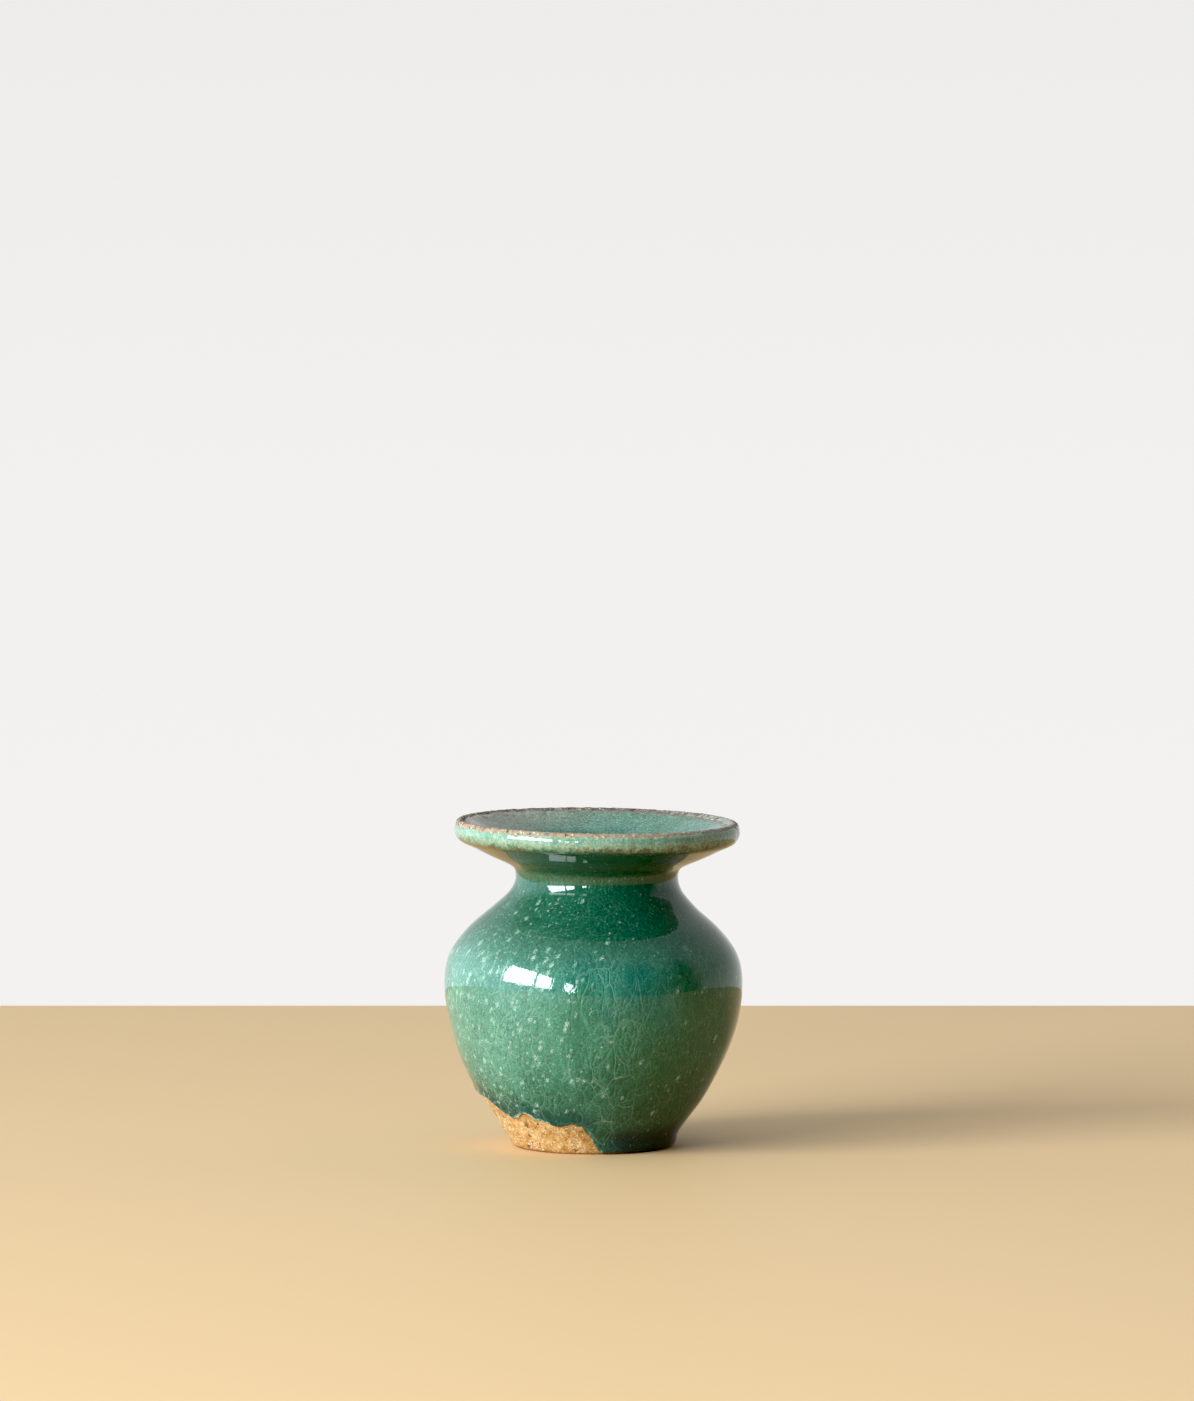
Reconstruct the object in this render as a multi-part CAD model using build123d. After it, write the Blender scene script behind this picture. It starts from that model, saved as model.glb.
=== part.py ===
"""A small hand-thrown ceramic bud vase, in millimetres, +Z up, origin at the centre of its foot.

The pot is one piece of fired stoneware: a narrow foot, a round belly, a short neck and a wide dished lip.
Two coats of crackle glaze are fused to it, one outside and one inside. They stop short of each other, so
that a ring of bare clay shows along the top of the lip. The outside coat runs down to the foot on the right
and stops in a ragged line above it on the left, where the clay is bare.
"""
from build123d import *
import os

# Driving dimensions
HEIGHT = 65.5            # from the table to the top of the lip
FOOT_RADIUS = 15.3       # where the foot meets the table
BELLY_RADIUS = 29.55     # clay at its widest, under the glaze
BELLY_HEIGHT = 33.5
NECK_RADIUS = 15.98      # clay at its narrowest
NECK_HEIGHT = 54.25
LIP_RADIUS = 28.45       # clay at the edge of the dished lip
LIP_HEIGHT = 64.0
THROAT_RADIUS = 12.9     # inside of the neck, in the clay
FLOOR_THICKNESS = 5.0    # clay under the inside of the pot, at the centre
GLAZE = 0.45             # thickness of either coat
RECESS_RADIUS = 10.6     # shallow hollow pressed into the underside
RECESS_DEPTH = 0.6
WIPED_FOOT = 0.45        # height at which the outside coat is wiped off, all round
LIP_STOP_OUTSIDE = 0.988  # where the outside coat stops, as a share of the way up the outside curve
LIP_STOP_INSIDE = 0.012   # where the inside coat starts, as a share of the way down the inside curve
REACH = 40.0             # further out than any part of the pot
COAT_STEPS = 44          # places along a coat where its thickness is set off from the clay
SPANS = 8                # edges that a long curve is cut into, so that each face of a solid stays simple
BELOW = 2.0              # further down than any part of the outside coat

# The clay's outside, from the foot up to the top of the lip, as (radius, height)
CLAY_OUTSIDE = [
    (FOOT_RADIUS, 0.0),
    (FOOT_RADIUS + 0.8, 0.75),
    (17.0, 3.0),
    (19.15, 6.1),
    (22.1, 10.2),
    (26.2, 18.1),
    (28.75, 26.0),
    (BELLY_RADIUS, BELLY_HEIGHT),
    (28.45, 38.6),
    (25.05, 43.3),
    (20.0, 47.9),
    (16.9, 51.2),
    (NECK_RADIUS, NECK_HEIGHT - 0.85),
    (NECK_RADIUS, NECK_HEIGHT + 0.85),
    (16.4, 56.2),
    (17.6, 57.05),
    (21.8, 58.95),
    (25.7, 60.85),
    (27.25, 61.6),
    (27.82, 62.05),
    (28.19, 62.75),
    (28.38, 63.35),
    (LIP_RADIUS, LIP_HEIGHT),
    (28.38, 64.65),
    (28.22, 65.13),
    (27.86, 65.43),
    (27.35, HEIGHT),
]

# The clay's inside, from the top of the lip down to the middle of the floor
CLAY_INSIDE = [
    (27.35, HEIGHT),
    (26.2, 65.0),
    (22.3, 62.7),
    (18.2, 60.9),
    (14.8, 58.6),
    (13.2, 56.0),
    (THROAT_RADIUS, NECK_HEIGHT - 0.95),
    (14.1, 50.2),
    (18.2, 46.2),
    (22.6, 42.0),
    (25.4, 37.6),
    (26.3, BELLY_HEIGHT - 1.0),
    (25.5, 25.5),
    (23.2, 18.2),
    (19.6, 11.8),
    (14.2, 7.4),
    (7.0, FLOOR_THICKNESS + 0.35),
    (0.0, FLOOR_THICKNESS),
]

# Where the outside coat stops, seen from the front and from the back, as (x, height).
# The line starts past the left side of the pot and ends at the wiped foot.
GLAZE_LINE_FRONT = [
    (-REACH, 12.6),
    (-23.5, 11.5),
    (-20.6, 10.3),
    (-18.3, 8.7),
    (-15.6, 7.1),
    (-13.4, 8.4),
    (-11.5, 7.3),
    (-7.9, 6.4),
    (-5.0, 6.3),
    (-3.9, 6.8),
    (-2.1, 6.3),
    (-0.6, 4.4),
    (0.6, 2.0),
    (1.7, WIPED_FOOT),
]
GLAZE_LINE_BACK = [
    (-REACH, 12.6),
    (-23.5, 11.5),
    (-20.0, 9.9),
    (-15.5, 7.9),
    (-12.0, 8.3),
    (-8.6, 6.0),
    (-5.2, 5.2),
    (-3.0, 2.6),
    (-0.4, WIPED_FOOT),
]


def curve(points):
    """A smooth curve through (radius, height) points in the plane that is turned round the axis."""
    return Spline([(radius, 0, height) for radius, height in points])


def beside(line, distance, start, end):
    """A curve that keeps its distance from a stretch of line, on its right-hand side as seen from -Y."""
    points = []
    for step in range(COAT_STEPS + 1):
        share = start + (end - start) * step / COAT_STEPS
        place = line @ share
        along = line % share
        points.append((place.X + along.Z * distance, 0, place.Z - along.X * distance))
    return Spline(points)


def spans(line, start=0.0, end=1.0):
    """The part of a curve between two shares of its length, cut into short edges."""
    shares = [start + (end - start) * step / SPANS for step in range(SPANS + 1)]
    return [line.trim(low, high) for low, high in zip(shares, shares[1:])]


def turned(edges):
    """The solid swept by a closed outline that is turned once round the vertical axis."""
    outline = Wire(edges)
    return revolve(Face(outline), axis=Axis.Z)


def clay_body():
    """The thrown pot: outside, lip, inside and a foot with a shallow hollow under it."""
    outside = curve(CLAY_OUTSIDE)
    inside = curve(CLAY_INSIDE)
    rest_ring = Line(outside @ 0, (RECESS_RADIUS, 0, 0))
    slope = RECESS_DEPTH / RECESS_RADIUS * 2
    hollow = Spline([rest_ring @ 1, (0, 0, RECESS_DEPTH)], tangents=[(-1, 0, slope), (-1, 0, 0)])
    axis = Line(hollow @ 1, inside @ 1)
    return turned(spans(outside) + spans(inside) + [axis, hollow, rest_ring])


def coat(line, distance, start, end):
    """A coat of glaze on a stretch of the clay's outline."""
    face_side = beside(line, distance, start, end)
    ends = [Line(line @ start, face_side @ 0), Line(line @ end, face_side @ 1)]
    return turned(spans(line, start, end) + spans(face_side) + ends)


def bare_patch(glaze_line, side):
    """A block under the glaze line that takes the coat off the front (side -1) or the back (side 1)."""
    line = Spline([(x, 0, height) for x, height in glaze_line])
    start, end = line @ 0, line @ 1
    down = Line(end, (end.X, 0, -BELOW))
    back = Line((end.X, 0, -BELOW), (start.X, 0, -BELOW))
    up = Line((start.X, 0, -BELOW), start)
    return extrude(Face(Wire([line, down, back, up])), amount=REACH, dir=(0, side, 0))


def outer_glaze():
    """The outside coat, stopped by the wiped foot, the bare patch and the top of the lip."""
    whole = coat(curve(CLAY_OUTSIDE), GLAZE, 0.0, LIP_STOP_OUTSIDE)
    under = (Align.CENTER, Align.CENTER, Align.MAX)
    wiped = Pos(0, 0, WIPED_FOOT) * Box(2 * REACH, 2 * REACH, BELOW, align=under)
    patches = [bare_patch(GLAZE_LINE_FRONT, -1), bare_patch(GLAZE_LINE_BACK, 1)]
    return whole - wiped - patches


def inner_glaze():
    """The inside coat: one skin from the lip, through the neck and the belly, to the floor."""
    inside = curve(CLAY_INSIDE)
    face_side = beside(inside, GLAZE, LIP_STOP_INSIDE, 1.0)
    lip_end = Line(inside @ LIP_STOP_INSIDE, face_side @ 0)
    axis = Line(inside @ 1, face_side @ 1)
    return turned(spans(inside, LIP_STOP_INSIDE) + spans(face_side) + [lip_end, axis])


PIECES = {
    "clay_body": clay_body,
    "outer_glaze": outer_glaze,
    "inner_glaze": inner_glaze,
}


def main():
    os.makedirs("parts", exist_ok=True)
    for name, make in PIECES.items():
        shape = make()
        export_step(shape, f"parts/{name}.step")
        print(name, "solids", len(shape.solids()), "volume", round(shape.volume, 1), "mm3")


main()
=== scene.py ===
"""A small hand-thrown bud vase with a green crackle glaze, for Blender 4.5.

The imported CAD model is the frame. Its three nodes are stood in for by three finer meshes: the clay, the
coat of glaze outside and the coat inside. Lengths are in millimetres up to the point where a mesh or an
object is made.
"""
import math

import bpy
import numpy as np
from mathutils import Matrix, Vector, noise


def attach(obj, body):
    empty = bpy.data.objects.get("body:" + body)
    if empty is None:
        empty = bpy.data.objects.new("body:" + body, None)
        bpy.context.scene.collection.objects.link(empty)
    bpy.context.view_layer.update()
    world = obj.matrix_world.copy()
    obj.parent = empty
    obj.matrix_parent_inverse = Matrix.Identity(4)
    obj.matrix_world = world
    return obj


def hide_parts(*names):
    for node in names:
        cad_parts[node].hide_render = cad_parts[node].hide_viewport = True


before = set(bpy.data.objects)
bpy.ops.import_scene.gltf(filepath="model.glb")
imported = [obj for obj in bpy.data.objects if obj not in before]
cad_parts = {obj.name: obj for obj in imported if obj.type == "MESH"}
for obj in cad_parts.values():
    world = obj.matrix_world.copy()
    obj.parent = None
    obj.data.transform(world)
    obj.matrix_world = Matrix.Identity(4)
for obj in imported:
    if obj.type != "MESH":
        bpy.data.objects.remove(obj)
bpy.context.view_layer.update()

MM = 0.001

# The clay's outline as (radius, height), as in the CAD: up the outside, over the lip and down the inside
OUTSIDE = [
    (15.3, 0.0), (16.1, 0.75), (17.0, 3.0), (19.15, 6.1), (22.1, 10.2), (26.2, 18.1), (28.75, 26.0),
    (29.55, 33.5), (28.45, 38.6), (25.05, 43.3), (20.0, 47.9), (16.9, 51.2), (15.98, 53.4), (15.98, 55.1),
    (16.4, 56.2), (17.6, 57.05), (21.8, 58.95), (25.7, 60.85), (27.25, 61.6), (27.82, 62.05), (28.19, 62.75),
    (28.38, 63.35), (28.45, 64.0), (28.38, 64.65), (28.22, 65.13), (27.86, 65.43), (27.35, 65.5),
]
INSIDE = [
    (26.2, 65.0), (22.3, 62.7), (18.2, 60.9), (14.8, 58.6), (13.2, 56.0), (12.9, 53.3), (14.1, 50.2),
    (18.2, 46.2), (22.6, 42.0), (25.4, 37.6), (26.3, 32.5), (25.5, 25.5), (23.2, 18.2), (19.6, 11.8),
    (14.2, 7.4), (7.0, 5.35), (0.0, 5.0),
]
RECESS_RADIUS = 10.6
RECESS_DEPTH = 0.6
REST_RING = (11.2, 15.0)  # radii of the flat ring that the pot stands on

# Where the outside coat stops, as (angle from the front, towards the right; height), once round the foot
GLAZE_LINE = [
    (-180, 0.5), (-172, 1.4), (-168, 3.6), (-163, 5.2), (-154, 6.1), (-146, 8.2), (-140, 8.5), (-131, 7.9),
    (-116, 9.9), (-100, 10.6), (-88, 11.1), (-74, 10.7), (-66, 10.3), (-60, 9.1), (-55.5, 7.9), (-50, 7.1),
    (-44.8, 7.6), (-41, 8.3), (-37.8, 8.45), (-35.5, 8.1), (-34.2, 7.3), (-30, 7.1), (-24, 6.35),
    (-18.6, 6.15), (-14.4, 6.35), (-11.9, 6.8), (-8.5, 6.5), (-6, 6.2), (-4.3, 5.3), (-1.9, 4.4), (0.2, 3.5),
    (1.9, 2.05), (3.7, 1.2), (6.5, 0.5), (60, 0.4), (150, 0.45),
]
FOOT_LINE = 1.2          # where the line is lower than this it follows the foot's edge and wanders less
LOWEST_GLAZE = 0.25      # the line is never lower than this

COAT = 0.45              # the glaze's usual thickness
ROLL = 0.45              # how far in from its edge the glaze reaches full thickness
BEAD = 0.22              # how much thicker the glaze is where it stopped running
BEAD_WIDTH = 0.8
SUNK = 0.15              # how deep the unseen side of a coat lies in the clay
BARE_LIP_OUTSIDE = 0.95  # bare clay from the top of the lip outwards, and inwards
BARE_LIP_INSIDE = 1.1
FAR_FROM_LINE = 9.0      # what the unseen side of the coat gives as its distance from the line

# What the potter's hands and the kiln did to a true round pot
LEAN = [(14, -0.2), (25, 0.15), (46, 0.0), (54, 0.8)]    # (height, shift to the right)
LIP_TILT = math.radians(0.85)                          # the lip dips to the right
LIP_TILT_FROM, LIP_TILT_TO = 50.0, 60.0
LIP_OVAL = 0.0035                                      # how far from round the lip is, as a share
LIP_OVAL_TURN = 0.8                                    # twice the angle that its long way is turned by
LIP_OVAL_FROM, LIP_OVAL_TO = 45.0, 64.0
FOOT_SWELL = 0.7                                       # the left of the foot is fuller, at this height
FOOT_SWELL_HEIGHT = 3.9
FOOT_SWELL_SPREAD = 2.4
SWELL_FROM, SWELL_TO = 1.0, 9.0                        # heights between which the uneven swell grows
SWELL_CIRCLE = 14.0                                    # radius at which its noise is read
INNERMOST_SWELL = 10.0                                 # and it dies away further in than this

# Layers of smooth noise, as (height, width, how far off the noise is read)
SWELL = [(0.16, 17.0, 100.0), (0.05, 6.0, 200.0)]            # the pot's uneven sides
GRAINS = [(0.6, 0.9, 0.0), (0.4, 0.45, 50.0)]                # bare clay, as a share of its grit
RAGGED_LINE = [(0.3, 1.7, 0.0), (0.15, 0.7, 30.0)]           # the outside coat's edge at the foot
RAGGED_OUTER_TOP = [(0.4, 2.2, 70.0), (0.35, 0.8, 0.0)]      # and at the lip
RAGGED_INNER_TOP = [(0.4, 1.4, 90.0), (0.25, 0.5, 5.0)]      # the inside coat's edge at the lip
FOOT_CIRCLE = 17.0       # radius at which the noise is read at the foot, and at the lip
LIP_CIRCLE = 27.0

# How far the bare clay's grains stand out
GRIT_UNDER = 0.07
GRIT_FOOT = 0.1
GRIT_LIP = 0.14
HOLLOW_GRIT = 0.4        # in the hollow they stand up besides, by this share
GRITTY_FOOT = 15.0       # how far up the outline the foot's grains reach
OFF_TABLE = 0.4          # height from which grains can move up and down freely

GLAZE_COLUMNS = 720
CLAY_COLUMNS = 600
COLUMNS_SEARCHED = 60    # how far to either side the nearest place on the glaze line is looked for
NO_RADIUS = 1e-6         # stands in for a radius of nothing


class Outline:
    """A smooth curve of (radius, height) points that can be read by the distance along it."""

    def __init__(self, points):
        self.points = self.smooth(np.array(points, float))
        steps = np.linalg.norm(np.diff(self.points, axis=0), axis=1)
        self.lengths = np.concatenate([[0.0], np.cumsum(steps)])
        along = np.gradient(self.points, self.lengths, axis=0)
        along /= np.linalg.norm(along, axis=1)[:, None]
        self.normals = np.stack([along[:, 1], -along[:, 0]], axis=1)

    @staticmethod
    def smooth(points, steps=24):
        """A centripetal Catmull-Rom curve through the points."""
        before = 2 * points[0] - points[1]
        after = 2 * points[-1] - points[-2]
        ends = np.vstack([before, points, after])
        pieces = []
        for a, b, c, d in zip(ends, ends[1:], ends[2:], ends[3:]):
            gaps = [np.linalg.norm(q - p) ** 0.5 for p, q in ((a, b), (b, c), (c, d))]
            t0, t1, t2, t3 = np.cumsum([0.0] + gaps)
            t = np.linspace(t1, t2, steps, endpoint=False)[:, None]
            ab = ((t1 - t) * a + (t - t0) * b) / (t1 - t0)
            bc = ((t2 - t) * b + (t - t1) * c) / (t2 - t1)
            cd = ((t3 - t) * c + (t - t2) * d) / (t3 - t2)
            abc = ((t2 - t) * ab + (t - t0) * bc) / (t2 - t0)
            bcd = ((t3 - t) * bc + (t - t1) * cd) / (t3 - t1)
            pieces.append(((t2 - t) * abc + (t - t1) * bcd) / (t2 - t1))
        return np.vstack(pieces + [points[-1:]])

    def at(self, distance, off=0.0):
        """Radius and height at a distance along the curve, moved off it along its outward normal."""
        radius, height, out, up = (
            np.interp(distance, self.lengths, column)
            for column in (*self.points.T, *self.normals.T)
        )
        return radius + out * off, height + up * off

    def distance_to(self, point):
        """The distance along the curve of the place that is nearest to a point."""
        gaps = np.linalg.norm(self.points - np.array(point), axis=1)
        return float(self.lengths[gaps.argmin()])


WALL = Outline(OUTSIDE + INSIDE)
LIP = WALL.distance_to(OUTSIDE[-1])
BELLY = WALL.distance_to((29.55, 33.5))            # where the outline is widest
LIP_EDGE = LIP - WALL.distance_to((27.82, 62.05))  # from the top of the lip to its face's lower edge
CORNER = LIP - WALL.distance_to((16.4, 56.2))      # and to the corner between the flare and the neck
FACE_END = LIP_EDGE - 0.7                          # and to where the glaze turns from pale to dark
FIRST_RING = 0.6                                   # radius of the ring round the middle of the underside
LAST_RING = float(WALL.lengths[-1]) - 0.8          # where the last ring lies, round the middle of the floor


def waves(points, size):
    """Smooth noise from -1 to 1 at each point, with bumps about as wide as size."""
    return np.array([noise.noise(Vector(point)) for point in points / size])


def ripples(points, layers):
    """The sum of some layers of noise, each given as (height, width, how far off its noise is read)."""
    return sum(height * waves(points + away, width) for height, width, away in layers)


def smooth_step(value, low, high):
    """0 where value is at low or below it, 1 at high or above it, and a smooth step in between."""
    share = np.clip((value - low) / (high - low), 0, 1)
    return share * share * (3 - 2 * share)


def turn(radius, height, angles):
    """Points at a radius and height for every angle, counted from the front (-Y) towards the right (+X)."""
    radius, height = np.broadcast_to(radius, angles.shape), np.broadcast_to(height, angles.shape)
    return np.stack([radius * np.sin(angles), -radius * np.cos(angles), height], axis=1)


def hand_thrown(points):
    """Moves the points of a true round pot to where the potter's hands left them."""
    x, y, height = points.T
    shift = LEAN[0][1]
    for (low, before), (high, after) in zip(LEAN, LEAN[1:]):
        shift = shift + (after - before) * smooth_step(height, low, high)
    angles = np.arctan2(x, -y)
    around = np.stack([np.sin(angles) * SWELL_CIRCLE, np.cos(angles) * SWELL_CIRCLE, height], axis=1)
    swell = ripples(around, SWELL) * smooth_step(height, SWELL_FROM, SWELL_TO)
    leftward = np.maximum(-np.sin(angles), 0)
    swell += FOOT_SWELL * leftward * np.exp(-((height - FOOT_SWELL_HEIGHT) / FOOT_SWELL_SPREAD) ** 2)
    oval = 1 + LIP_OVAL * np.cos(2 * angles + LIP_OVAL_TURN) * smooth_step(height, LIP_OVAL_FROM, LIP_OVAL_TO)
    radius = np.maximum(np.hypot(x, y), NO_RADIUS)
    grown = oval * (1 + swell / np.maximum(radius, INNERMOST_SWELL))
    tilt = smooth_step(height, LIP_TILT_FROM, LIP_TILT_TO) * math.sin(LIP_TILT)
    return np.stack([x * grown + shift, y * grown, height - x * tilt], axis=1)


def skin_faces(rows, columns, closed):
    """The faces between neighbouring rings. A closed skin's last ring joins its first."""
    faces = []
    for row in range(rows if closed else rows - 1):
        below, above = row * columns, (row + 1) % rows * columns
        for column in range(columns):
            beside = (column + 1) % columns
            faces.append((below + column, below + beside, above + beside, above + column))
    return faces


def pole_faces(rows, columns):
    """The fans from the first ring and the last one to the two poles, which are the last two points."""
    start, end, last = rows * columns, rows * columns + 1, (rows - 1) * columns
    faces = []
    for column in range(columns):
        beside = (column + 1) % columns
        faces.append((start, beside, column))
        faces.append((end, last + column, last + beside))
    return faces


def mesh_object(name, points, faces):
    """An object with a mesh of its own, from points in millimetres."""
    mesh = bpy.data.meshes.new(name)
    mesh.from_pydata((np.array(points) * MM).tolist(), [], faces)
    piece = bpy.data.objects.new(name, mesh)
    bpy.context.scene.collection.objects.link(piece)
    return piece


def turned_mesh(name, rings, poles=None, measures=None):
    """A mesh through rings of points. With two poles it is closed by a fan at each end, and otherwise the
    last ring joins the first. measures holds numbers for each point, kept on the mesh for its material."""
    rows, columns = np.shape(rings)[:2]
    points = hand_thrown(np.reshape(rings, (-1, 3)))
    faces = skin_faces(rows, columns, closed=poles is None)
    if poles is not None:
        points = np.vstack([points, hand_thrown(np.array(poles, float))])
        faces += pole_faces(rows, columns)
    piece = mesh_object(name, points, faces)
    piece.data.shade_smooth()
    for measure, values in (measures or {}).items():
        values = np.concatenate([np.ravel(values), np.zeros(len(points) - np.size(values))])
        kept = piece.data.attributes.new(measure, "FLOAT", "POINT")
        kept.data.foreach_set("value", values.astype(np.float32))
    return piece


def column_angles(columns):
    return np.radians(np.arange(columns) * 360 / columns - 180)


# --- The clay ---------------------------------------------------------------


def clay_piece():
    """The thrown pot, gritty where it is bare: at the foot, underneath and along the lip."""
    angles = column_angles(CLAY_COLUMNS)
    hollow = np.linspace(FIRST_RING, RECESS_RADIUS, 16)
    under = np.concatenate([hollow, np.linspace(*REST_RING, 10)])
    below_lip, past_lip = LIP - 3, LIP + 2.5
    rows = np.concatenate([
        np.linspace(0, GRITTY_FOOT, 64, endpoint=False),
        np.linspace(GRITTY_FOOT, below_lip, 18, endpoint=False),
        np.linspace(below_lip, past_lip, 32, endpoint=False),
        np.linspace(past_lip, LAST_RING, 24),
    ])
    heights = RECESS_DEPTH * (1 - smooth_step(under, 0, RECESS_RADIUS))
    rings = [turn(radius, height, angles) for radius, height in zip(under, heights)]
    rings = np.array(rings + [turn(*WALL.at(distance), angles) for distance in rows])

    # The grains stand out sideways from the pot's sides, and upwards from its lip and in its hollow
    on_lip = np.concatenate([under * 0, 1 - smooth_step(abs(rows - LIP), 1.3, 2.2)])
    on_foot = 1 - smooth_step(rows, GRITTY_FOOT - 2, GRITTY_FOOT)
    grit = np.concatenate([under * 0 + GRIT_UNDER, GRIT_FOOT * on_foot])
    grit = np.maximum(grit, GRIT_LIP * on_lip)
    bumps = ripples(rings.reshape(-1, 3), GRAINS).reshape(rings.shape[:2]) * grit[:, None]
    outward = rings[:, :, :2] / np.maximum(np.linalg.norm(rings[:, :, :2], axis=2), NO_RADIUS)[:, :, None]
    on_side = np.concatenate([under * 0, 1 - on_lip[len(under):]])[:, None]
    in_hollow = (np.arange(len(rings)) < len(hollow))[:, None]
    rings[:, :, :2] += outward * (bumps * on_side)[:, :, None]
    rings[:, :, 2] += bumps * (1 - on_side) * smooth_step(rings[:, :, 2], 0, OFF_TABLE)
    rings[:, :, 2] += abs(bumps) * HOLLOW_GRIT * in_hollow
    poles = [(0, 0, RECESS_DEPTH), (0, 0, WALL.points[-1][1])]
    return turned_mesh("clay_pot", rings, poles)


# --- The glaze --------------------------------------------------------------


def glaze_line(angles):
    """How far up the outline the outside coat stops at each angle: the drawn line, made a little ragged."""
    drawn_angles, drawn_heights = zip(*GLAZE_LINE)
    heights = np.interp(np.degrees(angles), drawn_angles, drawn_heights, period=360)
    ragged = ripples(turn(FOOT_CIRCLE, 0.0, angles), RAGGED_LINE)
    heights = heights + ragged * (0.35 + 0.65 * smooth_step(heights, FOOT_LINE, 2 * FOOT_LINE))
    lower = WALL.lengths < BELLY
    return np.interp(np.maximum(heights, LOWEST_GLAZE), WALL.points[lower, 1], WALL.lengths[lower])


def distance_from_line(line, rows, angles):
    """How far each point of a coat is from the ragged line, over the surface and not just down its column."""
    radius = WALL.at(rows)[0]
    step = angles[1] - angles[0]
    nearest = np.full(rows.shape, np.inf)
    for shift in range(-COLUMNS_SEARCHED, COLUMNS_SEARCHED + 1):
        across = radius * step * shift
        down = rows - np.roll(line, shift)[None, :]
        nearest = np.minimum(nearest, np.hypot(across, down))
    return nearest


def coat_thickness(from_line, from_lip):
    """A rolled bead where the glaze stopped running, the even coat, and a thin edge at the lip."""
    rolled = np.sqrt(1 - (1 - np.clip(from_line / ROLL, 0, 1)) ** 2)
    bead = BEAD * np.exp(-((from_line - 2 * ROLL) / BEAD_WIDTH) ** 2)
    return (COAT + bead) * rolled * smooth_step(from_lip, -0.5, 3.0)


def spread_rows(start, end, count, near=()):
    """Distances along the outline for each ring of a coat: near its start, then evenly on to its end."""
    rows = [start + distance for distance in near]
    reached = rows.pop() if rows else start
    rows += [reached * (1 - share) + end * share for share in np.linspace(0, 1, count)]
    return np.array(rows)


def outer_glaze_piece():
    """The outside coat: a closed skin from the ragged line at the foot to the lip."""
    angles = column_angles(GLAZE_COLUMNS)
    line = glaze_line(angles)
    ragged = ripples(turn(LIP_CIRCLE, 0.0, angles), RAGGED_OUTER_TOP)
    top = LIP - BARE_LIP_OUTSIDE + 0.35 * np.sin(angles) + ragged
    near = [0, 0.04, 0.1, 0.18, 0.28, 0.4, 0.55, 0.75, 1.0, 1.3, 1.7, 2.2, 2.8, 3.5]
    rows = spread_rows(line, top, 96, near)
    hidden = spread_rows(top, line, 24)
    from_line = distance_from_line(line, rows, angles)
    thickness = coat_thickness(from_line, top - rows)
    thickness[0] = -SUNK / 2
    thickness[-1] = -SUNK / 2
    measures = {
        "from_line": np.concatenate([from_line, hidden * 0 + FAR_FROM_LINE]),
        "from_lip": np.concatenate([LIP - rows, LIP - hidden]),
    }
    every_row = np.concatenate([rows, hidden])
    off = np.concatenate([thickness, hidden * 0 - SUNK])
    rings = [turn(*WALL.at(row, gap), angles) for row, gap in zip(every_row, off)]
    return turned_mesh("outer_glaze_coat", rings, measures=measures)


def inner_glaze_piece():
    """The inside coat: a closed skin from the lip, through the neck, to the floor of the pot."""
    angles = column_angles(CLAY_COLUMNS)
    ragged = ripples(turn(LIP_CIRCLE, 0.0, angles), RAGGED_INNER_TOP)
    top = LIP + BARE_LIP_INSIDE + 0.3 * np.sin(angles) + ragged
    near = [0, 0.06, 0.15, 0.3, 0.5, 0.8, 1.2, 1.8]
    rows = spread_rows(top, LAST_RING, 110, near)
    hidden = spread_rows(top, LAST_RING, 24)[::-1]
    thickness = COAT * smooth_step(rows - top, -0.2, 1.5)
    thickness[0] = -SUNK / 2
    every_row = np.concatenate([hidden, rows])
    off = np.concatenate([hidden * 0 - SUNK, thickness])
    rings = [turn(*WALL.at(row, gap), angles) for row, gap in zip(every_row, off)]
    floor_height = WALL.points[-1][1]
    poles = [(0, 0, floor_height - SUNK), (0, 0, floor_height + COAT)]
    return turned_mesh("inner_glaze_coat", rings, poles, {"from_lip": every_row - LIP})


# --- Materials --------------------------------------------------------------


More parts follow.
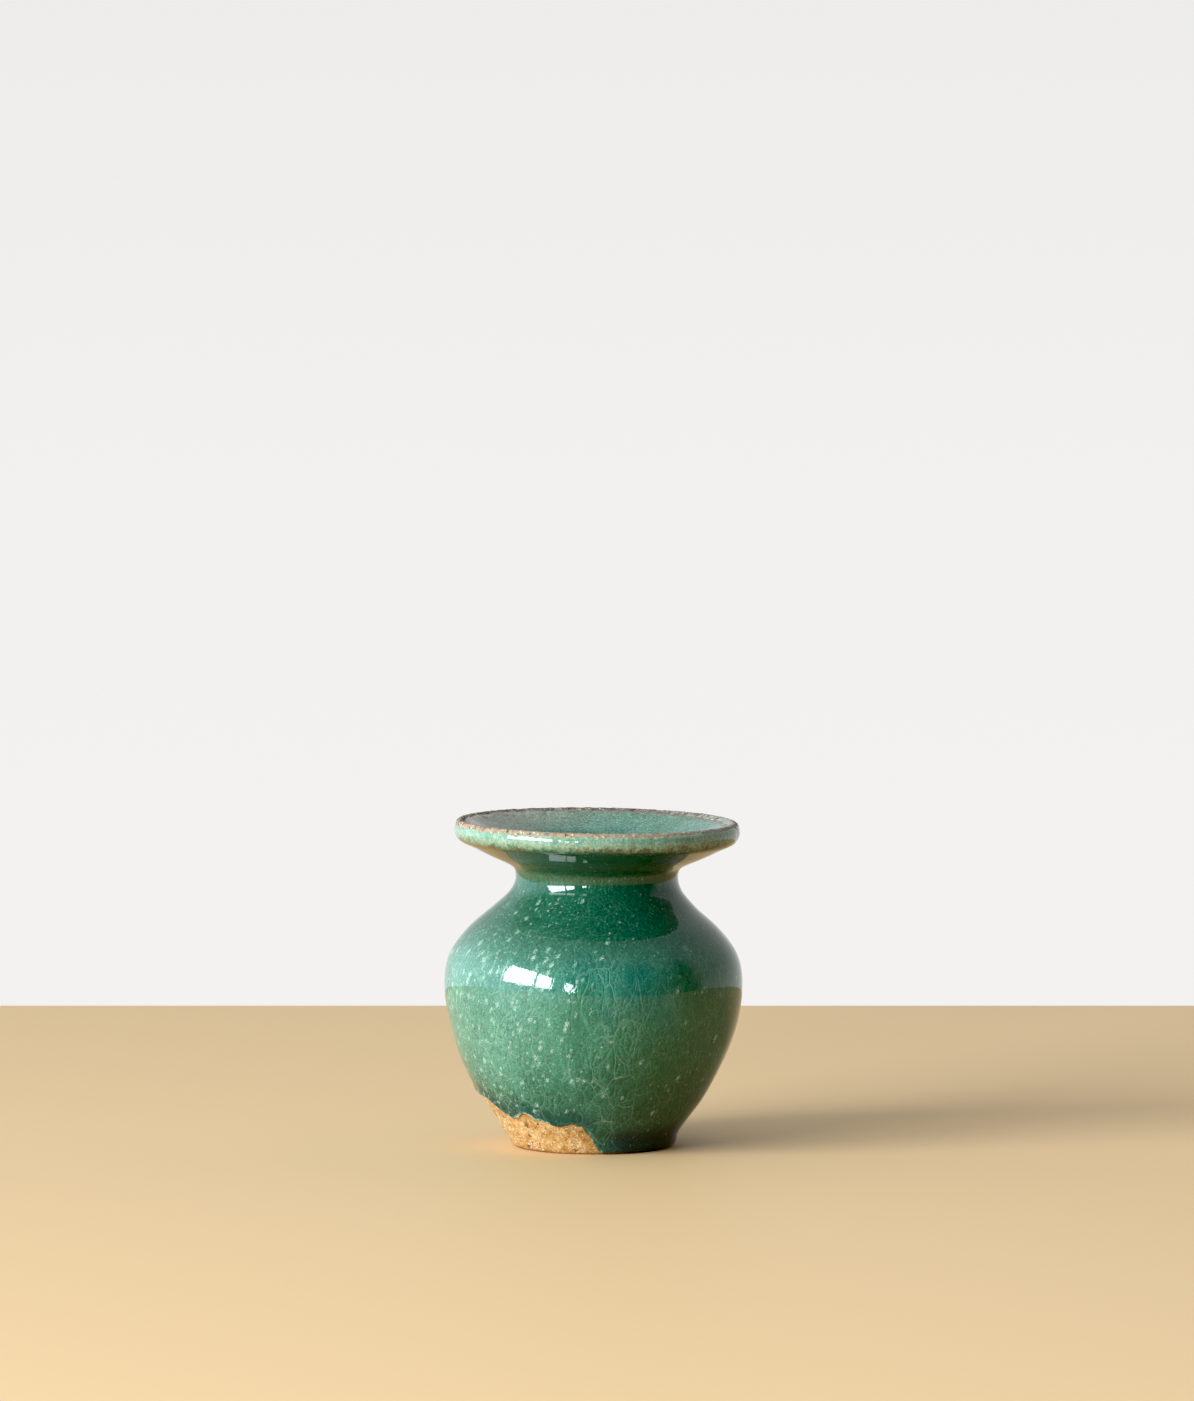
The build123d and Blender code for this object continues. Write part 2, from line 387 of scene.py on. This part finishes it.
class Nodes:
    """A node tree, with short calls that each add a node and give back its output."""

    def __init__(self, tree):
        self.tree = tree

    def feed(self, socket, value):
        if isinstance(value, bpy.types.NodeSocket):
            self.tree.links.new(value, socket)
        else:
            socket.default_value = value

    def node(self, kind, inputs, **settings):
        made = self.tree.nodes.new(kind)
        for name, value in settings.items():
            setattr(made, name, value)
        for name, value in inputs.items():
            self.feed(made.inputs[name], value)
        return made

    def part(self, vector, axis):
        return self.node("ShaderNodeSeparateXYZ", {"Vector": vector}).outputs[axis]

    def vector(self, operation, a, b):
        return self.node("ShaderNodeVectorMath", {0: a, 1: b}, operation=operation).outputs["Vector"]

    def math(self, operation, a, b=0.0):
        return self.node("ShaderNodeMath", {0: a, 1: b}, operation=operation).outputs["Value"]

    def times(self, *values):
        product = values[0]
        for value in values[1:]:
            product = self.math("MULTIPLY", product, value)
        return product

    def step(self, value, low, high, start=0.0, end=1.0):
        """A smooth step from start to end as value goes from low to high."""
        inputs = {"Value": value, "From Min": low, "From Max": high, "To Min": start, "To Max": end}
        made = self.node("ShaderNodeMapRange", inputs, interpolation_type="SMOOTHSTEP")
        return made.outputs["Result"]

    def band(self, value, middle, width):
        """1 where value is at the middle, falling to 0 at width away from it."""
        away = self.math("ABSOLUTE", self.math("SUBTRACT", value, middle))
        return self.step(away, 0.0, width, 1.0, 0.0)

    def mix(self, share, a, b):
        """Colour a, turned into colour b by a share."""
        made = self.node("ShaderNodeMix", {"Factor": share}, data_type="RGBA")
        for name, colour in (("A", a), ("B", b)):
            socket = next(s for s in made.inputs if s.name == name and s.type == "RGBA")
            self.feed(socket, colour if isinstance(colour, bpy.types.NodeSocket) else (*colour, 1.0))
        return next(s for s in made.outputs if s.type == "RGBA")

    def scaled(self, colour, factor):
        """The colour, made lighter or darker by a factor."""
        made = self.node("ShaderNodeVectorMath", {0: colour, "Scale": factor}, operation="SCALE")
        return made.outputs["Vector"]

    def moved(self, place, x=0.0, y=0.0, z=0.0):
        """The place slid aside, so that the noise there is unlike the noise here."""
        return self.vector("ADD", place, (x, y, z))

    def tall(self, place, squeeze):
        """The place with its height squeezed, so that what is drawn there is tall."""
        return self.vector("MULTIPLY", place, (1.0, 1.0, squeeze))

    def slanted(self, place, slope, stretch):
        """The place with its height squeezed and slid sideways, so that spots there are long and lean."""
        x, y, z = (self.part(place, axis) for axis in "XYZ")
        slid = self.math("SUBTRACT", x, self.times(z, slope))
        inputs = {"X": slid, "Y": y, "Z": self.times(z, 1 / stretch)}
        return self.node("ShaderNodeCombineXYZ", inputs).outputs["Vector"]

    def noise(self, place, size, detail=2.0, roughness=0.5):
        """Smooth noise from 0 to 1 with bumps about as wide as size."""
        inputs = {"Vector": place, "Scale": 1 / size, "Detail": detail, "Roughness": roughness}
        return self.node("ShaderNodeTexNoise", inputs).outputs["Fac"]

    def cells(self, place, size, feature="F1"):
        inputs = {"Vector": place, "Scale": 1 / size, "Randomness": 1.0}
        return self.node("ShaderNodeTexVoronoi", inputs, feature=feature)

    def wander(self, place, size, amount):
        """The place moved about by noise, so that what is drawn there has wavy edges."""
        push = self.node("ShaderNodeTexNoise", {"Vector": place, "Scale": 1 / size}).outputs["Color"]
        push = self.vector("SUBTRACT", push, (0.5, 0.5, 0.5))
        return self.vector("ADD", place, self.vector("MULTIPLY", push, (amount,) * 3))


class Shader(Nodes):
    """One material."""

    def __init__(self, name):
        self.material = bpy.data.materials.new(name)
        self.material.use_nodes = True
        super().__init__(self.material.node_tree)
        self.surface = self.tree.nodes["Principled BSDF"]

    def place(self):
        """Where the surface point is, in millimetres."""
        where = self.node("ShaderNodeTexCoord", {}).outputs["Object"]
        return self.vector("MULTIPLY", where, (1 / MM,) * 3)

    def measure(self, name):
        """A number that the mesh holds for each of its points."""
        return self.node("ShaderNodeAttribute", {}, attribute_name=name).outputs["Fac"]

    def bump(self, height, depth, under=None):
        inputs = {"Height": height, "Distance": depth * MM, "Strength": 1.0}
        if under is not None:
            inputs["Normal"] = under
        return self.node("ShaderNodeBump", inputs).outputs["Normal"]

    def specks(self, place, size, largest, share):
        """Scattered spots, some ragged and some broken up: 1 in a spot. share is how many cells have one."""
        found = self.cells(self.wander(place, largest, largest), size)
        luck, bulk = (self.part(found.outputs["Color"], axis) for axis in "XY")
        radius = self.step(bulk, 0.0, 1.0, 0.3 * largest / size, largest / size)
        reach = self.math("DIVIDE", found.outputs["Distance"], radius)
        crumbs = self.step(self.noise(place, largest * 0.3, 1.0), 0.25, 0.75, -0.7, 0.7)
        reach = self.math("ADD", reach, crumbs)
        return self.times(self.math("LESS_THAN", luck, share), self.step(reach, 0.5, 0.95, 1.0, 0.0))

    def craze(self, place, size, width):
        """A net of cracks: 1 on a crack, and how far the nearest crack is. Each large cell holds a finer net
        of its own, so cracks meet in T shapes, as they do in a glaze that cracked first into large pieces
        and later into small ones."""
        wavy = self.wander(place, size * 0.7, size * 0.4)
        large_edge = self.cells(wavy, size, "DISTANCE_TO_EDGE").outputs["Distance"]
        large_cell = self.cells(wavy, size).outputs["Color"]
        own = self.vector("ADD", wavy, self.vector("MULTIPLY", large_cell, (90.0,) * 3))
        fine = size * 0.4
        small_edge = self.cells(own, fine, "DISTANCE_TO_EDGE").outputs["Distance"]
        large = self.step(large_edge, 0.2 * width / size, width / size, 1.0, 0.0)
        small = self.step(small_edge, 0.1 * width / fine, 0.8 * width / fine, 0.45, 0.0)
        away = self.math("MINIMUM", self.times(large_edge, size), self.times(small_edge, fine))
        return self.math("MAXIMUM", large, small), away


SHADED_DEEP_GREEN = (0.007, 0.068, 0.036)
TEAL = (0.015, 0.128, 0.098)
GREEN = (0.024, 0.126, 0.073)
SHADED_RIGHT_GREEN = (0.016, 0.078, 0.028)
BRIGHT = (0.07, 0.23, 0.15)
MINT = (0.155, 0.285, 0.22)
FACE = (0.155, 0.285, 0.215)
PALE = (0.36, 0.56, 0.43)
FLECK = (0.46, 0.62, 0.56)
CREAM = (0.36, 0.35, 0.18)
POOL = (0.002, 0.05, 0.038)
SHADED_FOOT_POOL = (0.001, 0.018, 0.022)
SHADE = (0.028, 0.075, 0.042)
OLIVE = (0.08, 0.09, 0.03)
REFLECTED_AMBER = (0.25, 0.14, 0.05)
RUST = (0.1, 0.055, 0.025)
THIN_BROWN = (0.15, 0.12, 0.07)
INSIDE_DARK = (0.023, 0.112, 0.082)
INSIDE_PALE = (0.07, 0.19, 0.143)
INSIDE_GREY_BROWN = (0.37, 0.38, 0.3)


def glassy(shader, skin):
    """The clear surface of a glaze over its coloured body. skin is the bumpy normal of that surface."""
    surface = shader.surface
    surface.inputs["Roughness"].default_value = 0.5
    surface.inputs["Specular IOR Level"].default_value = 0.0
    surface.inputs["Coat Weight"].default_value = 1.0
    surface.inputs["Coat Roughness"].default_value = 0.02
    surface.inputs["Coat IOR"].default_value = 1.51
    shader.feed(surface.inputs["Coat Normal"], skin)


class OuterGlaze(Shader):
    """Green glaze: crackled, flecked, dark where it pooled, brown where it ran thin, and with painted shade
    and reflections.

    Each method that takes a colour lays one part of the glaze's look over it. Where a point is on the pot is
    read from across (to the right), height, from_line (its distance from the lower edge) and from_lip (from
    the top of the lip). cloud, drift, runs, grain and broken are patterns of noise that several parts share.
    """

    def __init__(self):
        super().__init__("outer_glaze")
        spot = self.spot = self.place()
        self.across, self.height = self.part(spot, "X"), self.part(spot, "Z")
        self.from_line, self.from_lip = self.measure("from_line"), self.measure("from_lip")
        self.cloud = self.noise(self.tall(spot, 0.5), 6.0, 3.0)
        self.drift = self.noise(self.moved(spot, z=55.0), 9.0, 3.0)
        self.runs = self.noise(self.tall(spot, 0.1), 0.5, 2.0)
        self.grain = self.noise(spot, 0.35, 2.0, 0.6)
        self.broken = self.noise(spot, 1.6, 3.0, 0.7)
        self.pooled = self.pool_mask()
        # Round the foot on the right: pooled glaze with painted shade and painted reflection of the table
        self.foot = self.shaded_foot_mask()
        past_flare = self.step(self.from_lip, CORNER + 2.0, CORNER + 7.0)
        self.on_body = self.times(past_flare, self.math("SUBTRACT", 1.0, self.foot))

    def pool_mask(self):
        """1 in the dark pool just above the lower edge."""
        ragged = self.math("ADD", self.from_line, self.step(self.runs, 0.3, 0.7, -0.9, 0.9))
        return self.times(self.step(ragged, 5.0, 2.0), self.step(self.across, 3.0, -5.0, 0.35, 0.95))

    def shaded_foot_mask(self):
        """1 round the foot on the right: thick pooled glaze, with painted shade and painted reflection."""
        low = self.step(self.math("ADD", self.height, self.times(self.broken, 1.2)), 7.2, 4.4)
        return self.times(low, self.step(self.across, 0.0, 7.0), 0.95)

    def body(self):
        """Painted shade round the shoulder and on the right, and milkier and greener over the belly."""
        # Greener low down, teal higher up: painted reflections of the warm tabletop and the cool room
        drifting = self.math("ADD", self.height, self.step(self.drift, 0.2, 0.8, -9.0, 9.0))
        belly = self.mix(self.step(drifting, 24.0, 40.0), GREEN, TEAL)
        belly = self.mix(self.step(self.cloud, 0.4, 0.7, 0.0, 0.5), belly, BRIGHT)
        # Dark round shoulder and neck: painted shade under the flare and painted reflection of its underside
        colour = self.mix(self.step(self.height, 45.0, 36.0, 0.05, 0.95), SHADED_DEEP_GREEN, belly)
        # Darker low and far right: painted shade away from the windows, warmed by painted tabletop light
        low_right = self.times(self.step(self.across, -3.0, 14.0), self.step(self.height, 34.0, 14.0))
        far_right = self.times(self.step(self.across, 11.0, 20.0), self.step(self.height, 46.0, 36.0), 0.8)
        shaded_right = self.math("MAXIMUM", low_right, far_right)
        colour = self.mix(self.times(shaded_right, 0.95), colour, SHADED_RIGHT_GREEN)
        colour = self.mix(self.step(self.runs, 0.45, 0.75, 0.0, 0.25), colour, BRIGHT)
        above_foot = self.step(self.height, 10.0, 22.0, 0.1, 1.0)
        milky = self.times(above_foot, self.step(self.height, 48.0, 39.0, 0.2, 1.0))
        milky = self.times(milky, self.step(self.across, 2.0, -26.0, 0.0, 0.38))
        return self.scaled(self.mix(milky, colour, MINT), self.step(self.height, 8.0, 19.0, 0.72, 1.0))

    def flare(self, colour):
        """Painted shade under the lip's face, painted tabletop reflection at its sides and tips, an olive
        neck ring.
        """
        below_face = self.step(self.from_lip, FACE_END, FACE_END + 1.2)
        under = self.times(below_face, self.step(self.from_lip, CORNER + 1.0, CORNER - 3.0))
        aside = self.math("ABSOLUTE", self.math("SUBTRACT", self.across, 2.0))
        flank = self.times(self.step(aside, 9.0, 19.0), self.step(self.cloud, 0.3, 0.55, 0.4, 1.0))
        tip = self.times(self.step(aside, 18.0, 26.0), self.step(self.broken, 0.35, 0.6, 0.25, 1.0))
        # Olive at the sides and amber at the tips: a painted reflection of the warm tabletop
        colour = self.mix(under, colour, self.mix(tip, self.mix(flank, SHADE, OLIVE), REFLECTED_AMBER))
        return self.mix(self.times(self.band(self.from_lip, CORNER + 0.8, 2.4), 0.3), colour, OLIVE)

    def lip_face(self, colour):
        """Thin, pale and streaky on the lip's face, and creamy along both of its edges."""
        ragged = self.math("ADD", self.from_lip, self.step(self.broken, 0.2, 0.8, -1.1, 1.1))
        face = self.mix(self.step(self.drift, 0.35, 0.65, 0.0, 0.3), FACE, PALE)
        face = self.mix(self.step(self.runs, 0.4, 0.7, 0.0, 0.3), face, GREEN)
        face = self.scaled(face, self.step(self.across, 6.0, 27.0, 1.0, 0.75))
        face = self.mix(self.step(ragged, FACE_END - 1.6, FACE_END, 0.0, 0.35), face, CREAM)
        at_top = self.step(self.from_lip, BARE_LIP_OUTSIDE + 1.0, BARE_LIP_OUTSIDE, 0.0, 0.6)
        face = self.mix(at_top, face, CREAM)
        return self.mix(self.step(ragged, FACE_END + 1.5, FACE_END - 0.9), colour, face)

    def rusty_edge(self, colour):
        """Rusty spots where the lip's pale face turns to the dark flare."""
        rusted = self.times(self.step(self.broken, 0.4, 0.65), self.step(self.across, -6.0, 6.0, 0.0, 0.55))
        spots = self.specks(self.moved(self.spot, y=30.0), 2.3, 0.9, 0.75)
        rusted = self.math("MAXIMUM", rusted, self.times(spots, 0.85))
        return self.mix(self.times(self.band(self.from_lip, FACE_END + 0.3, 1.5), rusted), colour, RUST)

    def lower_edge(self, colour):
        """A dark pool above the line, a darker one round the foot with painted shade in it, and froth on the
        line.
        """
        # The foot's darker band is pooled glaze plus painted shade and reflection of the shadowed tabletop
        colour = self.mix(self.foot, self.mix(self.pooled, colour, POOL), SHADED_FOOT_POOL)
        frothy = self.step(self.noise(self.spot, 3.5, 1.0), 0.45, 0.6)
        froth = self.times(self.step(self.from_line, 1.1, 0.3), self.step(self.broken, 0.4, 0.55), frothy)
        return self.mix(self.times(froth, self.step(self.height, 1.5, 4.0)), colour, FLECK)

    def mottled(self, colour):
        """Lighter and darker by patches and by fine grain, all over."""
        colour = self.scaled(colour, self.step(self.broken, 0.25, 0.75, 0.87, 1.14))
        return self.scaled(colour, self.step(self.grain, 0.25, 0.75, 0.68, 1.38))

    def crackle(self):
        """The net of cracks and the cushions puffed up between them, clearest on the left of the belly."""
        cracks, away = self.craze(self.tall(self.spot, 0.45), 4.2, 0.13)
        patchy = self.times(self.step(self.noise(self.spot, 12.0), 0.35, 0.6, 0.4, 1.0), self.on_body)
        patchy = self.times(patchy, self.step(self.across, 14.0, 3.0, 0.4, 1.0))
        patchy = self.times(patchy, self.step(self.height, 44.0, 36.0, 0.35, 1.0))
        return self.times(cracks, patchy), self.times(self.step(away, 0.0, 0.5), patchy)

    def flecked(self, colour):
        """Pale blotches, lean flecks and dust, which crowd on the left, and a few rusty spots."""
        blotches = self.specks(self.moved(self.spot, z=33.0), 3.6, 0.8, 0.3)
        colour = self.mix(self.times(blotches, self.on_body, 0.2), colour, FLECK)
        crowd = self.math("POWER", self.step(self.across, 16.0, -27.0, 0.14, 0.9), 1.5)
        crowd = self.times(crowd, self.on_body, self.step(self.drift, 0.3, 0.7, 1.1, 0.5))
        crowd = self.times(crowd, self.step(self.height, 50.0, 42.0, 0.5, 1.0))
        crowd = self.times(crowd, self.step(self.pooled, 0.2, 1.0, 1.0, 0.4))
        lean = self.slanted(self.spot, 0.35, 1.7)
        flecks = self.specks(lean, 1.25, 0.5, crowd)
        colour = self.mix(self.times(flecks, 0.52), colour, FLECK)
        dusty = self.times(self.math("ADD", crowd, 0.15), 0.8)
        dust = self.specks(self.moved(lean, x=40.0), 0.6, 0.2, dusty)
        colour = self.mix(self.times(dust, 0.4), colour, PALE)
        rusty = self.specks(self.moved(self.spot, y=70.0), 2.2, 0.4, 0.12)
        return self.mix(self.times(rusty, 0.6), colour, RUST)

    def skin(self, cracks, puffed):
        """The bumpy normal of the glaze's clear surface: uneven, most of all on the lip, and cracked."""
        more_on_lip = self.step(self.from_lip, LIP_EDGE, LIP_EDGE - 1.0, 1.0, 2.2)
        skin = self.bump(self.times(self.noise(self.spot, 3.0), more_on_lip), 0.02)
        skin = self.bump(self.runs, 0.004, skin)
        skin = self.bump(self.noise(self.spot, 0.7), 0.003, skin)
        skin = self.bump(puffed, 0.004, skin)
        return self.bump(cracks, -0.006, skin)


def outer_glaze_material():
    """The outside glaze, laid part by part over the colour of its body."""
    glaze = OuterGlaze()
    colour = glaze.body()
    for laid_over in (glaze.flare, glaze.lip_face, glaze.rusty_edge, glaze.lower_edge, glaze.mottled):
        colour = laid_over(colour)
    cracks, puffed = glaze.crackle()
    colour = glaze.mix(glaze.times(cracks, 0.18), colour, PALE)
    glaze.feed(glaze.surface.inputs["Base Color"], glaze.flecked(colour))
    glassy(glaze, glaze.skin(cracks, puffed))
    glaze.feed(glaze.surface.inputs["Normal"], glaze.bump(cracks, -0.04, glaze.bump(puffed, 0.09)))
    return glaze.material


def inner_glaze_material():
    """The same glaze inside: thinner, greyer and finely crackled, and brown where it thins out at the lip."""
    shader = Shader("inner_glaze")
    place = shader.place()
    from_lip = shader.measure("from_lip")
    cloud = shader.noise(place, 6.0, 3.0)
    grain = shader.noise(place, 0.4, 2.0, 0.6)
    broken = shader.noise(place, 1.4, 3.0, 0.7)
    colour = shader.mix(shader.step(cloud, 0.3, 0.7), INSIDE_DARK, INSIDE_PALE)
    colour = shader.mix(shader.step(grain, 0.4, 0.75, 0.0, 0.15), colour, PALE)
    # Darker further down inside the neck: painted shade in the pot's hollow
    colour = shader.mix(shader.step(from_lip, 8.0, 20.0, 0.0, 0.8), colour, SHADED_DEEP_GREEN)
    # Greyer and browner towards the left, near the lip
    leftward = shader.step(shader.part(place, "X"), 6.0, -20.0, 0.15, 0.8)
    colour = shader.mix(shader.times(leftward, shader.step(from_lip, 11.0, 3.0)), colour, INSIDE_GREY_BROWN)
    thinner = shader.math("ADD", from_lip, shader.step(broken, 0.25, 0.75, -1.2, 1.2))
    colour = shader.mix(shader.step(thinner, 3.0, 1.5, 0.0, 0.9), colour, THIN_BROWN)
    colour = shader.scaled(colour, shader.step(broken, 0.25, 0.75, 0.85, 1.15))
    colour = shader.scaled(colour, shader.step(grain, 0.25, 0.75, 0.68, 1.38))
    cracks, _ = shader.craze(place, 2.6, 0.1)
    colour = shader.mix(shader.times(cracks, 0.12), colour, PALE)
    dust = shader.specks(place, 0.8, 0.22, 0.35)
    colour = shader.mix(shader.times(dust, 0.35), colour, FLECK)
    shader.feed(shader.surface.inputs["Base Color"], colour)
    glassy(shader, shader.bump(cracks, -0.006, shader.bump(grain, 0.004)))
    shader.feed(shader.surface.inputs["Normal"], shader.bump(cracks, -0.04))
    return shader.material


SAND = (0.43, 0.25, 0.075)
PALE_SAND = (0.68, 0.48, 0.22)
ORANGE = (0.42, 0.17, 0.035)
TOAST_AND_SHADE = (0.24, 0.085, 0.018)
IRON = (0.06, 0.018, 0.005)
QUARTZ = (0.92, 0.82, 0.6)
LIP_CLAY = (0.35, 0.275, 0.195)
LIP_DARK_GREY = (0.13, 0.14, 0.135)
LIP_LIT_GREY = (0.3, 0.325, 0.3)


def lip_clay(shader, place):
    """The bare lip's colour: sandy grey in front, darker grey behind, and painted light on the right."""
    across, along = shader.part(place, "X"), shader.part(place, "Y")
    behind = shader.math("SUBTRACT", along, shader.times(across, 0.4))
    patches = shader.noise(place, 1.2, 3.0)
    # Darker grey towards the back
    darkening = shader.math("ADD", patches, shader.step(behind, -6.0, 18.0, -0.03, 0.2))
    colour = shader.mix(shader.step(darkening, 0.52, 0.68), LIP_CLAY, LIP_DARK_GREY)
    # Lighter grey on the right: painted light and reflection from the bright wall, over the shaded rim
    lit_right = shader.times(shader.step(across, 8.0, 24.0), shader.step(darkening, 0.7, 0.48))
    return shader.mix(lit_right, colour, LIP_LIT_GREY)


def clay_material():
    """Sandy stoneware: golden, with iron spots and pale grains, a painted contact shadow where it stands and
    greys along the lip."""
    shader = Shader("bare_clay")
    place = shader.place()
    height = shader.part(place, "Z")
    cloud = shader.noise(place, 3.0, 4.0, 0.6)
    grain = shader.noise(place, 0.4, 3.0, 0.7)
    colour = shader.mix(shader.step(cloud, 0.35, 0.65), SAND, PALE_SAND)
    colour = shader.mix(shader.step(grain, 0.44, 0.6, 0.0, 0.8), colour, ORANGE)
    colour = shader.mix(shader.step(height, 40.0, 60.0), colour, lip_clay(shader, place))
    blotch = shader.noise(shader.moved(place, y=50.0), 0.9, 2.0)
    colour = shader.mix(shader.step(blotch, 0.5, 0.66, 0.0, 0.45), colour, TOAST_AND_SHADE)
    quartz = shader.specks(place, 0.6, 0.32, 0.7)
    colour = shader.mix(shader.times(quartz, 0.85), colour, QUARTZ)
    toast = shader.specks(shader.moved(place, z=80.0), 0.9, 0.36, 0.5)
    colour = shader.mix(shader.times(toast, 0.8), colour, TOAST_AND_SHADE)
    iron = shader.specks(shader.moved(place, y=25.0), 1.9, 0.7, 0.45)
    colour = shader.mix(shader.times(iron, 0.9), colour, IRON)
    # Painted contact shadow: darker along the bottom edge where the pot stands
    colour = shader.mix(shader.step(height, 0.45, 0.1, 0.0, 0.8), colour, TOAST_AND_SHADE)
    shader.feed(shader.surface.inputs["Base Color"], colour)
    shader.surface.inputs["Roughness"].default_value = 0.85
    shader.surface.inputs["Specular IOR Level"].default_value = 0.3
    pits = shader.bump(grain, 0.22)
    shader.feed(shader.surface.inputs["Normal"], shader.bump(quartz, 0.08, pits))
    return shader.material


def plain_material(name, colour, roughness):
    """One even colour with a soft sheen."""
    shader = Shader(name)
    shader.surface.inputs["Base Color"].default_value = (*colour, 1.0)
    shader.surface.inputs["Roughness"].default_value = roughness
    shader.surface.inputs["Specular IOR Level"].default_value = 0.25
    return shader.material


# --- Stage, light and camera --------------------------------------------------

TABLE_BEHIND = 242.0     # from the vase to the back edge of the tabletop
TABLE_FRONT = 1100.0
TABLE_SIDE = 1250.0
TABLE_THICKNESS = 30.0
TABLE_COLOUR = (0.73, 0.51, 0.275)

WALL_LOW = (0.9, 0.89, 0.878)     # the wall behind the vase, low down and higher up
WALL_HIGH = (0.62, 0.63, 0.635)
ROOM_FRONT = (0.075, 0.085, 0.095)
ROOM_ABOVE = (0.52, 0.54, 0.55)
ROOM_LEFT = (1.5, 1.8, 2.0)       # the glow round the windows

WINDOW_WALL = 1300.0     # from the vase to the wall on the left that holds the windows
WINDOW_TOP = 960.0
WINDOW_SILL = 230.0
WINDOW_BRIGHTNESS = 21.0
DAYLIGHT = (0.92, 0.97, 1.0)
WINDOWS = [(-1170.0, -350.0), (-2000.0, -1255.0), (-4690.0, -3220.0)]  # each pane's ends along that wall

BLACK_LEVEL = 0.013      # what a camera's contrast takes off the darks
CAMERA_AWAY = 1820.8
CAMERA_UP = 239.5
CAMERA_RIGHT = 0.8
CAMERA_DOWN = 4.705      # degrees below the horizon
LENS = 234.2
SENSOR = 36.0
FARTHEST_SEEN = 50.0     # in metres


def tabletop():
    """The plain pale surface that the vase stands on."""
    corners = [
        (-TABLE_SIDE, -TABLE_FRONT), (TABLE_SIDE, -TABLE_FRONT),
        (TABLE_SIDE, TABLE_BEHIND), (-TABLE_SIDE, TABLE_BEHIND),
    ]
    points = [(x, y, height) for height in (0.0, -TABLE_THICKNESS) for x, y in corners]
    faces = [(0, 1, 2, 3), (7, 6, 5, 4), (0, 4, 5, 1), (1, 5, 6, 2), (2, 6, 7, 3), (3, 7, 4, 0)]
    piece = mesh_object("tabletop", points, faces)
    piece.data.materials.append(plain_material("pale_tabletop", TABLE_COLOUR, 0.6))


def room():
    """A pale room: a bright wall behind the vase, a glow from the windows' side, and dimness in front."""
    world = bpy.data.worlds.new("room")
    bpy.context.scene.world = world
    world.use_nodes = True
    nodes = Nodes(world.node_tree)
    direction = nodes.node("ShaderNodeTexCoord", {}).outputs["Generated"]
    across, along, up = (nodes.part(direction, axis) for axis in "XYZ")
    wall = nodes.mix(nodes.step(up, -0.12, 0.3), WALL_LOW, WALL_HIGH)
    colour = nodes.mix(nodes.step(along, -0.12, 0.15), ROOM_FRONT, wall)
    colour = nodes.mix(nodes.step(up, 0.5, 0.9), colour, ROOM_ABOVE)
    glow = nodes.times(nodes.step(across, -0.3, -0.9), nodes.step(up, 0.75, 0.3))
    colour = nodes.mix(glow, colour, ROOM_LEFT)
    nodes.feed(world.node_tree.nodes["Background"].inputs["Color"], colour)


def windows():
    """Soft daylight from panes along the left wall, whose reflections show in the glaze."""
    for number, (front, back) in enumerate(WINDOWS):
        light = bpy.data.lights.new(f"window_{number}", "AREA")
        light.shape = "RECTANGLE"
        light.size = (back - front) * MM
        light.size_y = (WINDOW_TOP - WINDOW_SILL) * MM
        light.energy = WINDOW_BRIGHTNESS * math.pi * light.size * light.size_y
        light.color = DAYLIGHT
        lamp = bpy.data.objects.new(light.name, light)
        lamp.location = (-WINDOW_WALL * MM, (front + back) / 2 * MM, (WINDOW_SILL + WINDOW_TOP) / 2 * MM)
        lamp.rotation_euler = (math.radians(90), 0, math.radians(-90))
        lamp.visible_camera = False
        bpy.context.scene.collection.objects.link(lamp)


def camera():
    """The view: a long lens, a little above the vase."""
    data = bpy.data.cameras.new("camera")
    data.lens = LENS
    data.sensor_width = SENSOR
    data.clip_end = FARTHEST_SEEN
    eye = bpy.data.objects.new("camera", data)
    eye.location = (CAMERA_RIGHT * MM, -CAMERA_AWAY * MM, CAMERA_UP * MM)
    eye.rotation_euler = (math.radians(90 - CAMERA_DOWN), 0, 0)
    bpy.context.scene.collection.objects.link(eye)
    bpy.context.scene.camera = eye


def add_piece(piece, material, node):
    """Gives a piece its material, hangs it from the root body and hides the CAD node that it stands in for.
    """
    piece.data.materials.append(material)
    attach(piece, "root")
    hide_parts(node)


def main():
    view = bpy.context.scene.view_settings
    view.view_transform = "Standard"
    view.use_curve_mapping = True
    view.curve_mapping.black_level = (BLACK_LEVEL,) * 3
    camera()
    tabletop()
    room()
    windows()
    add_piece(clay_piece(), clay_material(), "clay_body")
    add_piece(outer_glaze_piece(), outer_glaze_material(), "outer_glaze")
    add_piece(inner_glaze_piece(), inner_glaze_material(), "inner_glaze")


main()
